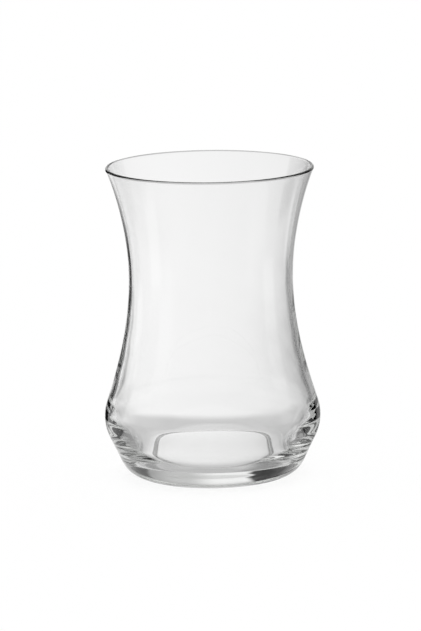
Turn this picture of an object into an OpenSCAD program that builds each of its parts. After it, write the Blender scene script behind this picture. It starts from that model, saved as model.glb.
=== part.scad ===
/* [Overall] */
// Height of the glass, from the table to the top of the lip
height = 90; // [84:0.5:100]
// Outer diameter at the lip
rim_d = 59.8; // [57:0.2:66]

/* [Waist] */
// Outer diameter at the narrowest place
waist_d = 47.2; // [42:0.2:52]
// Height of the narrowest place above the table
waist_z = 57.6; // [52:0.2:64]
// Angle that the wall leans outward where it reaches the lip
flare_angle = 24; // [12:1:30]

/* [Belly] */
// Outer diameter at the widest place
belly_d = 62.3; // [58:0.1:68]
// Height of the widest place above the table
belly_z = 17.4; // [15:0.1:22]
// Radius of the round band at the widest place
belly_r = 13.5; // [8:0.5:18]
// Angle that the round band turns above the widest place
belly_turn_up = 18; // [10:1:26]
// Angle that the round band turns below the widest place
belly_turn_down = 27; // [20:1:30]

/* [Foot] */
// Diameter of the circle where the heel touches the table
foot_d = 38.8; // [36:0.2:42]
// Radius of the rounded heel
heel_r = 7.8; // [6.4:0.1:9]
// Angle that the wall leans inward on its way down to the heel
taper_angle = 25; // [20:1:28]
// Width of the flat ring that the glass stands on
foot_ring_w = 1.4; // [0.8:0.1:3]
// Radius of the ring's inner edge
foot_edge_r = 0.5; // [0.3:0.1:1]
// Height that the middle of the underside stands clear of the table
push_up = 1; // [0.7:0.1:2.5]

/* [Walls] */
// Wall at the lip, which is fire polished to a full round
lip_wall = 1.1; // [0.8:0.1:2]
// Wall at the waist
waist_wall = 0.9; // [0.7:0.05:2]
// Wall at the belly
belly_wall = 1.7; // [1.2:0.1:2.6]
// Radius of the round band inside the belly
inner_band_r = 14.5; // [10:0.5:18]

/* [Inside floor] */
// Height of the middle of the inside floor above the table
floor_z = 6.6; // [5.6:0.1:9]
// Height of the ring where the floor meets the round corner
floor_ring_z = 5.7; // [5:0.1:7.5]
// Diameter of that ring
floor_ring_d = 42.8; // [40:0.2:45]

/* [Smoothness] */
// Straight steps along each long curve of the outline
curve_steps = 14; // [8:1:24]
// Straight steps around each small round of the outline
round_steps = 8; // [6:2:12]
// Sides of a full turn
$fn = 128; // [64:16:192]

/* [Hidden] */

// How far each end of a long curve holds its own direction, as a share of the height that the curve spans
lip_hold_share = 0.13;
waist_up_hold_share = 0.45;
waist_down_hold_share = 0.39;
shoulder_hold_share = 0.26;
// The same for the short curve between the belly and the heel, as a share of its length
taper_hold_share = 0.4;

lip_r = lip_wall / 2;
lip_centre = [rim_d / 2 - lip_r, height - lip_r];
foot_inner_r = foot_d / 2 - foot_ring_w;

// The inside is widest at the same height as the outside, and its corner spans from there to the floor
inner_belly_r = belly_d / 2 - belly_wall;
floor_ring_r = floor_ring_d / 2;

glass_colour = [0.86, 0.88, 0.87, 0.4];

// The outline is drawn as [distance from the axis, height above the table].
// Direction at an angle that is counted from outward towards up
function heading(angle) = [cos(angle), sin(angle)];

// Points of an arc, with its last point and, from first = 0, its first one
function arc(centre, radius, from_angle, to_angle, steps, first = 0) = [
    for (i = [first : steps]) centre + radius * heading(from_angle + (to_angle - from_angle) * i / steps)
];

// Place at t, from 0 to 1, on a cubic curve from a to d that b and c pull
function cubic_place(a, b, c, d, t) =
    pow(1 - t, 3) * a + 3 * t * pow(1 - t, 2) * b + 3 * pow(t, 2) * (1 - t) * c + pow(t, 3) * d;

// Points of a cubic curve between its ends, which are left out
function cubic(a, b, c, d, steps) = [for (i = [1 : steps - 1]) cubic_place(a, b, c, d, i / steps)];

function reversed(points) = [for (i = [len(points) - 1 : -1 : 0]) points[i]];

// The wall from a place on the lip, through the waist, down to the top of the belly's round band
function wall_line(lip_place, waist_r, band_top) = let (
    up_span = lip_place[1] - waist_z,
    down_span = waist_z - band_top[1],
    waist = [waist_r, waist_z]
) concat(
    [lip_place],
    cubic(
        lip_place,
        lip_place - lip_hold_share * up_span * heading(90 - flare_angle),
        [waist_r, waist_z + waist_up_hold_share * up_span],
        waist,
        curve_steps
    ),
    [waist],
    cubic(
        waist,
        [waist_r, waist_z - waist_down_hold_share * down_span],
        band_top + shoulder_hold_share * down_span * heading(90 + belly_turn_up),
        band_top,
        curve_steps
    )
);

// Outside, from the lip down over the belly and round the heel to the table
function outer_line() = let (
    band_centre = [belly_d / 2 - belly_r, belly_z],
    band_top = band_centre + belly_r * heading(belly_turn_up),
    band_end = band_centre + belly_r * heading(-belly_turn_down),
    heel_centre = [foot_d / 2, heel_r],
    heel_start = heel_centre + heel_r * heading(-taper_angle),
    hold = taper_hold_share * norm(band_end - heel_start)
) concat(
    wall_line(lip_centre + lip_r * heading(-flare_angle), waist_d / 2, band_top),
    arc(band_centre, belly_r, belly_turn_up, -belly_turn_down, round_steps),
    cubic(
        band_end,
        band_end - hold * heading(90 - belly_turn_down),
        heel_start + hold * heading(90 - taper_angle),
        heel_start,
        round_steps / 2
    ),
    arc(heel_centre, heel_r, -taper_angle, -90, round_steps)
);

// Underside, from the flat ring over its rounded edge to the middle of a shallow dome
function under_line() = let (
    dome_r = foot_inner_r - foot_edge_r,
    dome_rise = push_up - foot_edge_r
) concat(
    arc([foot_inner_r, foot_edge_r], foot_edge_r, -90, -180, round_steps / 2),
    [for (i = [1 : round_steps]) let (t = i / round_steps)
        [dome_r * (1 - t), foot_edge_r + dome_rise * t * (2 - t)]]
);

// Points of the quarter ellipse of the corner, from the wall down to the floor, without its first one
function corner(steps) = [
    for (i = [1 : steps]) let (turn = 90 * i / steps) [
        floor_ring_r + (inner_belly_r - floor_ring_r) * cos(turn),
        belly_z - (belly_z - floor_ring_z) * sin(turn)
    ]
];

// Points of the floor, from its ring to the middle, which stands a little higher
function floor_line(steps) = [
    for (i = [1 : steps]) let (out = 1 - i / steps)
        [floor_ring_r * out, floor_z - (floor_z - floor_ring_z) * pow(out, 3)]
];

// Inside, from the lip down over the belly and round the corner to the middle of the floor
function inner_line() = let (band_centre = [inner_belly_r - inner_band_r, belly_z]) concat(
    wall_line(
        lip_centre - lip_r * heading(-flare_angle),
        waist_d / 2 - waist_wall,
        band_centre + inner_band_r * heading(belly_turn_up)
    ),
    arc(band_centre, inner_band_r, belly_turn_up, 0, round_steps / 2),
    corner(round_steps),
    floor_line(round_steps)
);

// The lip, from the inside over the top to the outside, without its two ends
function lip_line() = let (turn = 180 / round_steps)
    arc(lip_centre, lip_r, 180 - flare_angle - turn, turn - flare_angle, round_steps - 2);

module tea_glass() {
    color(glass_colour)
    rotate_extrude()
    polygon(concat(outer_line(), under_line(), reversed(inner_line()), lip_line()));
}

tea_glass();
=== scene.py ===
"""Looks of the tea glass: a fine lathed glass on a pale floor, in a bright studio with dark cards beside it."""
import math

import bmesh
import bpy
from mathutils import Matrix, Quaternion, Vector


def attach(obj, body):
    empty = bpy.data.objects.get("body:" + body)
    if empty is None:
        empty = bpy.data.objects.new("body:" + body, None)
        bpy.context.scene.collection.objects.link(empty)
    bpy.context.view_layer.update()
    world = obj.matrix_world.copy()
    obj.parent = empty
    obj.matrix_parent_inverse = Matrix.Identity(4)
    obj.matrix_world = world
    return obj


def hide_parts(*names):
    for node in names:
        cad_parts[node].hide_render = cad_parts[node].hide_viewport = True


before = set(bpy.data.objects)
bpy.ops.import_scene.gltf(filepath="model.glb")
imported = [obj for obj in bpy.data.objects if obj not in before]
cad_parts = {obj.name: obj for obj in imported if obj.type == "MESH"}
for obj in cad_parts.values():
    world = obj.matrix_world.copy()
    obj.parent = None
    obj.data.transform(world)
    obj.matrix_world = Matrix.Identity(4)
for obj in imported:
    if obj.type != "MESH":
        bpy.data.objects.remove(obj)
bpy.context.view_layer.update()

MM = 0.001

# Outside of the glass
HEIGHT = 90 * MM
RIM_R = 29.9 * MM
WAIST_R = 23.6 * MM
WAIST_Z = 57.6 * MM
FLARE = 24
BELLY_R = 31.15 * MM
BELLY_Z = 17.4 * MM
BAND_R = 13.5 * MM
BAND_UP = 18
BAND_DOWN = 27
FOOT_R = 19.4 * MM
HEEL_R = 7.8 * MM
TAPER = 25

# Underside
RING_W = 1.4 * MM
RING_EDGE_R = 0.5 * MM
PUSH_UP = 1.0 * MM

# Walls and inside floor. The belly's wall, the corner and the floor differ from the solids by up to 2.2 mm.
LIP_WALL = 1.1 * MM
WAIST_WALL = 0.9 * MM
BELLY_WALL = 2.4 * MM
INNER_BELLY_Z = 18.7 * MM
INNER_BAND_R = 17 * MM
FLOOR_RING_Z = 6.05 * MM
FLOOR_RING_R = 21.2 * MM
FLOOR_Z = 7.1 * MM

# Holds of the long curves, as shares of the height that each curve spans
LIP_HOLD_SHARE = 0.13
WAIST_UP_HOLD_SHARE = 0.45
WAIST_DOWN_HOLD_SHARE = 0.39
SHOULDER_HOLD_SHARE = 0.26
TAPER_HOLD_SHARE = 0.4
CORNER_DOWN_HOLD_SHARE = 0.38
CORNER_IN_HOLD_SHARE = 0.15

# Slight unevenness of the inside; the lip and the outside are smooth. Each wave has its count round the glass, its
# count per wave length of height, its share and its phase.
WAVE = 0.012 * MM
WAVE_LENGTH = 9 * MM
WAVES = [(3, 0.4, 1, 0), (7, -1, 0.6, 1)]

# Fineness of the lathed mesh
SIDES = 256
CURVE_STEPS = 64
ROUND_STEPS = 24
EDGE_STEPS = 8
FLOOR_STEPS = 12
ON_AXIS = 1e-9

# Clear soda-lime glass, which takes a little of the light, and of the green least
IOR = 1.5
TINT_DENSITY = 6
TINT = (0.75, 0.77, 0.74, 1)


def heading(angle):
    """Direction at an angle that is counted from outward towards up."""
    return Vector((math.cos(math.radians(angle)), math.sin(math.radians(angle))))


def arc(centre, radius, start, end, steps):
    return [centre + radius * heading(start + (end - start) * i / steps) for i in range(steps + 1)]


def cubic(a, b, c, d, steps):
    """Points of a cubic curve between its ends, which are left out."""
    places = (i / steps for i in range(1, steps))
    return [(1 - t) ** 3 * a + 3 * t * (1 - t) ** 2 * b + 3 * t * t * (1 - t) * c + t**3 * d for t in places]


def wall_line(lip_place, waist_r, band_top):
    """From a place on the lip, through the waist, down to the top of the belly's round band."""
    up_span = lip_place.y - WAIST_Z
    down_span = WAIST_Z - band_top.y
    waist = Vector((waist_r, WAIST_Z))
    upper = cubic(
        lip_place,
        lip_place - LIP_HOLD_SHARE * up_span * heading(90 - FLARE),
        waist + Vector((0, WAIST_UP_HOLD_SHARE * up_span)),
        waist,
        CURVE_STEPS,
    )
    lower = cubic(
        waist,
        waist - Vector((0, WAIST_DOWN_HOLD_SHARE * down_span)),
        band_top + SHOULDER_HOLD_SHARE * down_span * heading(90 + BAND_UP),
        band_top,
        CURVE_STEPS,
    )
    return [lip_place, *upper, waist, *lower]


def glass_outline():
    """Closed outline of the wall's section: ((distance from the axis, height), 1 where the surface is uneven)."""
    lip_r = LIP_WALL / 2
    lip_centre = Vector((RIM_R - lip_r, HEIGHT - lip_r))
    band_centre = Vector((BELLY_R - BAND_R, BELLY_Z))
    band_top = band_centre + BAND_R * heading(BAND_UP)
    band_end = band_centre + BAND_R * heading(-BAND_DOWN)
    heel_centre = Vector((FOOT_R, HEEL_R))
    heel_start = heel_centre + HEEL_R * heading(-TAPER)
    hold = TAPER_HOLD_SHARE * (band_end - heel_start).length
    outer = wall_line(lip_centre + lip_r * heading(-FLARE), WAIST_R, band_top)
    outer += arc(band_centre, BAND_R, BAND_UP, -BAND_DOWN, ROUND_STEPS)
    outer += cubic(
        band_end,
        band_end - hold * heading(90 - BAND_DOWN),
        heel_start + hold * heading(90 - TAPER),
        heel_start,
        ROUND_STEPS,
    )
    outer += arc(heel_centre, HEEL_R, -TAPER, -90, ROUND_STEPS)

    ring_inner_r = FOOT_R - RING_W
    dome_r = ring_inner_r - RING_EDGE_R
    dome_rise = PUSH_UP - RING_EDGE_R
    under = arc(Vector((ring_inner_r, RING_EDGE_R)), RING_EDGE_R, -90, -180, EDGE_STEPS)
    for i in range(1, FLOOR_STEPS + 1):
        t = i / FLOOR_STEPS
        under.append(Vector((dome_r * (1 - t), RING_EDGE_R + dome_rise * t * (2 - t))))

    inner_belly_r = BELLY_R - BELLY_WALL
    inner_belly = Vector((inner_belly_r, INNER_BELLY_Z))
    inner_centre = inner_belly - Vector((INNER_BAND_R, 0))
    inner = wall_line(
        lip_centre - lip_r * heading(-FLARE), WAIST_R - WAIST_WALL, inner_centre + INNER_BAND_R * heading(BAND_UP)
    )
    inner += arc(inner_centre, INNER_BAND_R, BAND_UP, 0, ROUND_STEPS)
    floor_ring = Vector((FLOOR_RING_R, FLOOR_RING_Z))
    inner += cubic(
        inner_belly,
        inner_belly - Vector((0, CORNER_DOWN_HOLD_SHARE * (INNER_BELLY_Z - FLOOR_RING_Z))),
        floor_ring + Vector((CORNER_IN_HOLD_SHARE * (inner_belly_r - FLOOR_RING_R), 0)),
        floor_ring,
        2 * ROUND_STEPS,
    )
    for i in range(FLOOR_STEPS + 1):
        t = i / FLOOR_STEPS
        inner.append(Vector((FLOOR_RING_R * (1 - t), FLOOR_RING_Z + (FLOOR_Z - FLOOR_RING_Z) * t * (2 - t))))

    lip = arc(lip_centre, lip_r, 180 - FLARE, -FLARE, ROUND_STEPS)[1:-1]
    return [*((p, 0) for p in outer + under), *((p, 1) for p in inner[::-1]), *((p, 0) for p in lip)]


def wave(r, z, angle):
    """Unevenness of the inside, which dies out towards the axis and the lip."""
    fade = min(1, r / FLOOR_RING_R) * min(1, (HEIGHT - z) / WAIST_Z)
    climb = 2 * math.pi * z / WAVE_LENGTH
    return WAVE * fade * sum(
        share * math.sin(turns * angle + climbs * climb + phase) for turns, climbs, share, phase in WAVES
    )


def lathe(name, outline):
    """Closed mesh that turns the outline round the axis; a point on the axis is one vertex."""
    mesh = bmesh.new()
    rings = []
    for (r, z), uneven in outline:
        if r < ON_AXIS:
            rings.append([mesh.verts.new((0, 0, z))] * SIDES)
            continue
        ring = []
        for i in range(SIDES):
            angle = 2 * math.pi * i / SIDES
            shift = uneven * wave(r, z, angle)
            ring.append(mesh.verts.new(((r + shift) * math.cos(angle), (r + shift) * math.sin(angle), z + shift)))
        rings.append(ring)
    for lower, upper in zip(rings, rings[1:] + rings[:1]):
        if lower[0] is lower[1] and upper[0] is upper[1]:
            continue
        for i in range(SIDES):
            j = (i + 1) % SIDES
            corners = list(dict.fromkeys((lower[i], lower[j], upper[j], upper[i])))
            mesh.faces.new(corners).smooth = True
    bmesh.ops.recalc_face_normals(mesh, faces=mesh.faces)
    if mesh.calc_volume(signed=True) < 0:
        bmesh.ops.reverse_faces(mesh, faces=mesh.faces)
    data = bpy.data.meshes.new(name)
    mesh.to_mesh(data)
    mesh.free()
    piece = bpy.data.objects.new(name, data)
    bpy.context.scene.collection.objects.link(piece)
    return piece


def glass_material():
    material = bpy.data.materials.new("clear_glass")
    material.use_nodes = True
    tree = material.node_tree
    shader = tree.nodes["Principled BSDF"]
    shader.inputs["Base Color"].default_value = (1, 1, 1, 1)
    shader.inputs["Roughness"].default_value = 0
    shader.inputs["IOR"].default_value = IOR
    shader.inputs["Transmission Weight"].default_value = 1
    tint = tree.nodes.new("ShaderNodeVolumeAbsorption")
    tint.inputs["Color"].default_value = TINT
    tint.inputs["Density"].default_value = TINT_DENSITY
    tree.links.new(tint.outputs[0], tree.nodes["Material Output"].inputs["Volume"])
    return material


class Maths:
    """Short calls that add Math nodes to one tree; a number is set on the node's own socket."""

    def __init__(self, tree):
        self.tree = tree

    def __call__(self, operation, *values):
        node = self.tree.nodes.new("ShaderNodeMath")
        node.operation = operation
        for socket, value in zip(node.inputs, values):
            if isinstance(value, (int, float)):
                socket.default_value = value
            else:
                self.tree.links.new(value, socket)
        return node.outputs[0]

    def step(self, value, edge, soft):
        """0 below the edge, 1 above it, with a smooth change over soft."""
        node = self.tree.nodes.new("ShaderNodeMapRange")
        node.interpolation_type = "SMOOTHSTEP"
        self.tree.links.new(value, node.inputs["Value"])
        node.inputs["From Min"].default_value = edge - soft / 2
        node.inputs["From Max"].default_value = edge + soft / 2
        return node.outputs["Result"]

    def window(self, value, low, high, soft):
        """1 between low and high, 0 outside them."""
        return self("MULTIPLY", self.step(value, low, soft), self("SUBTRACT", 1.0, self.step(value, high, soft)))


# Brightness of the white backdrop as the glass shows it
BACKDROP = 0.965

# What stands round the glass in the white studio: name, from and to azimuth, from and to elevation, how softly it
# ends sideways and up and down, how far it leans to the left per degree of elevation, and its brightness. Azimuths
# are degrees from straight behind the glass, positive to the right; a later card lies over an earlier one. An azimuth
# of 190 or an elevation of 91 is past the end of the scale, so that the card has no edge there.
CARDS = [
    ("fall-off on the right", 4.9, 190, -91, 91, 14.6, 0, 0, 0.58),
    ("far right", 25, 190, -91, 91, 19.3, 0, 0, 0.35),
    ("room behind the camera", 115, 190, -91, 91, 40, 0, 0, 0.65),
    ("room behind the camera, left", -190, -120, -91, 91, 40, 0, 0, 0.65),
    ("left side of the room", -122.9, -21.8, -91, 91, 12.8, 0, 0, 0.97),
    ("ceiling", -190, 190, 16.8, 91, 1.5, 37.6, 0, 0.47),
    ("lamp above the camera, right", 110, 190, 40, 91, 20, 10, 0, 1.1),
    ("lamp above the camera, left", -190, -110, 40, 91, 20, 10, 0, 1.1),
    # Painted shade: the four table cards give the table its darkening round the glass's foot, which the glass shows
    # where it looks down; the floor itself is plain white.
    ("table", -190, 190, -91, -22, 1.5, 13, 0, 0.6),
    ("near table", -40.2, 39.3, -91, -49.2, 10, 5, 0, 0.5),
    ("dark left of the table", -89.2, -15.7, -46.8, -31.1, 4, 5.6, 0, 0.34),
    ("dark right of the table", 16.8, 97.1, -60, -23.3, 7.6, 14.6, 0, 0.29),
    ("right gap", 13, 14.9, -18.6, -11.9, 2.5, 4, 0, 0.2),
    ("right slot", 15, 22.7, -32.8, -4.2, 3.5, 4, 0, 0.32),
    ("right dark card", 33.6, 48.1, -46.9, 2.2, 4.4, 4, 0, 0),
    ("left dark card", -33.1, -16, -14.8, 34.7, 4, 6, 0.27, 0.02),
    ("right dark card, upper part", 34, 58, 1, 20, 5, 4, 0, 0.1),
    ("left dark card, upper part", -70, -30, 2, 45, 5, 5, 0, 0.05),
    ("window at 45", 35, 55, -42, -14, 8, 8, 0, 0.85),
    ("window at 90", 80, 100, -18, 12, 8, 8, 0, 0.85),
]


def studio_world():
    world = bpy.data.worlds.new("studio")
    bpy.context.scene.world = world
    world.use_nodes = True
    # The world isn't sampled as a lamp: light finds it only by following rays
    world.cycles.sampling_method = "NONE"
    tree = world.node_tree
    tree.nodes.clear()
    m = Maths(tree)
    place = tree.nodes.new("ShaderNodeTexCoord")
    parts = tree.nodes.new("ShaderNodeSeparateXYZ")
    tree.links.new(place.outputs["Generated"], parts.inputs[0])
    x, y, z = parts.outputs
    azimuth = m("MULTIPLY", m("ARCTAN2", x, y), 180 / math.pi)
    elevation = m("MULTIPLY", m("ARCSINE", z), 180 / math.pi)
    level = BACKDROP
    for _, left, right, low, high, soft, soft_upright, lean, value in CARDS:
        along = m("ADD", azimuth, m("MULTIPLY", elevation, lean)) if lean else azimuth
        covered = m.window(along, left, right, soft)
        if low > -90 or high < 90:
            covered = m("MULTIPLY", covered, m.window(elevation, low, high, soft_upright))
        level = m("ADD", m("MULTIPLY", covered, value), m("MULTIPLY", m("SUBTRACT", 1.0, covered), level))
    # The camera and the matt floor see plain white; only the glass shows the cards
    light_path = tree.nodes.new("ShaderNodeLightPath")
    scattered = m("MINIMUM", light_path.outputs["Diffuse Depth"], 1.0)
    plain = m("MAXIMUM", light_path.outputs["Is Camera Ray"], scattered)
    strength = m("ADD", plain, m("MULTIPLY", m("SUBTRACT", 1.0, plain), level))
    background = tree.nodes.new("ShaderNodeBackground")
    background.inputs["Color"].default_value = (1, 1, 1, 1)
    tree.links.new(strength, background.inputs["Strength"])
    output = tree.nodes.new("ShaderNodeOutputWorld")
    tree.links.new(background.outputs[0], output.inputs["Surface"])


FLOOR_REACH = 30 * HEIGHT


def pale_floor():
    mesh = bmesh.new()
    bmesh.ops.create_grid(mesh, x_segments=2, y_segments=2, size=FLOOR_REACH)
    data = bpy.data.meshes.new("floor")
    mesh.to_mesh(data)
    mesh.free()
    floor = bpy.data.objects.new("floor", data)
    bpy.context.scene.collection.objects.link(floor)
    material = bpy.data.materials.new("pale_floor")
    material.use_nodes = True
    tree = material.node_tree
    tree.nodes.clear()
    matt = tree.nodes.new("ShaderNodeBsdfDiffuse")
    matt.inputs["Color"].default_value = (1, 1, 1, 1)
    output = tree.nodes.new("ShaderNodeOutputMaterial")
    tree.links.new(matt.outputs[0], output.inputs["Surface"])
    data.materials.append(material)
    floor.visible_transmission = False
    floor.visible_glossy = False


# The camera, from the rim's ellipse and the outline in the photograph; pixels count in the 421 x 631 frame
FRAME_LONG_SIDE = 631
SENSOR = 36
FOCAL_PIXELS = 5003
CAMERA_DISTANCE = 1.44
CLIP_START = CAMERA_DISTANCE / 100
CAMERA_ELEVATION = 10.84
CAMERA_ROLL = 0.75
AIM_PIXEL = (210.9, 319.8)
CENTRE_PIXEL = (210, 315)


def photo_camera():
    data = bpy.data.cameras.new("camera")
    data.sensor_width = SENSOR
    data.lens = SENSOR * FOCAL_PIXELS / FRAME_LONG_SIDE
    data.shift_x = (CENTRE_PIXEL[0] - AIM_PIXEL[0]) / FRAME_LONG_SIDE
    data.shift_y = (AIM_PIXEL[1] - CENTRE_PIXEL[1]) / FRAME_LONG_SIDE
    data.clip_start = CLIP_START
    camera = bpy.data.objects.new("camera", data)
    bpy.context.scene.collection.objects.link(camera)
    rise = math.radians(CAMERA_ELEVATION)
    back = Vector((0, -math.cos(rise), math.sin(rise)))
    camera.location = Vector((0, 0, HEIGHT / 2)) + CAMERA_DISTANCE * back
    camera.rotation_mode = "QUATERNION"
    lean = Quaternion((0, 0, 1), -math.radians(CAMERA_ROLL))
    camera.rotation_quaternion = back.to_track_quat("Z", "Y") @ lean
    bpy.context.scene.camera = camera


# Deep enough for light to leave the heavy base
LIGHT_BOUNCES = 32

scene = bpy.context.scene
scene.view_settings.view_transform = "Standard"
scene.cycles.max_bounces = LIGHT_BOUNCES
scene.cycles.transmission_bounces = LIGHT_BOUNCES
scene.cycles.glossy_bounces = LIGHT_BOUNCES
scene.cycles.blur_glossy = 0

glass = lathe("glass_body", glass_outline())
glass.data.materials.append(glass_material())
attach(glass, "root")
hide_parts("tea_glass")

studio_world()
pale_floor()
photo_camera()
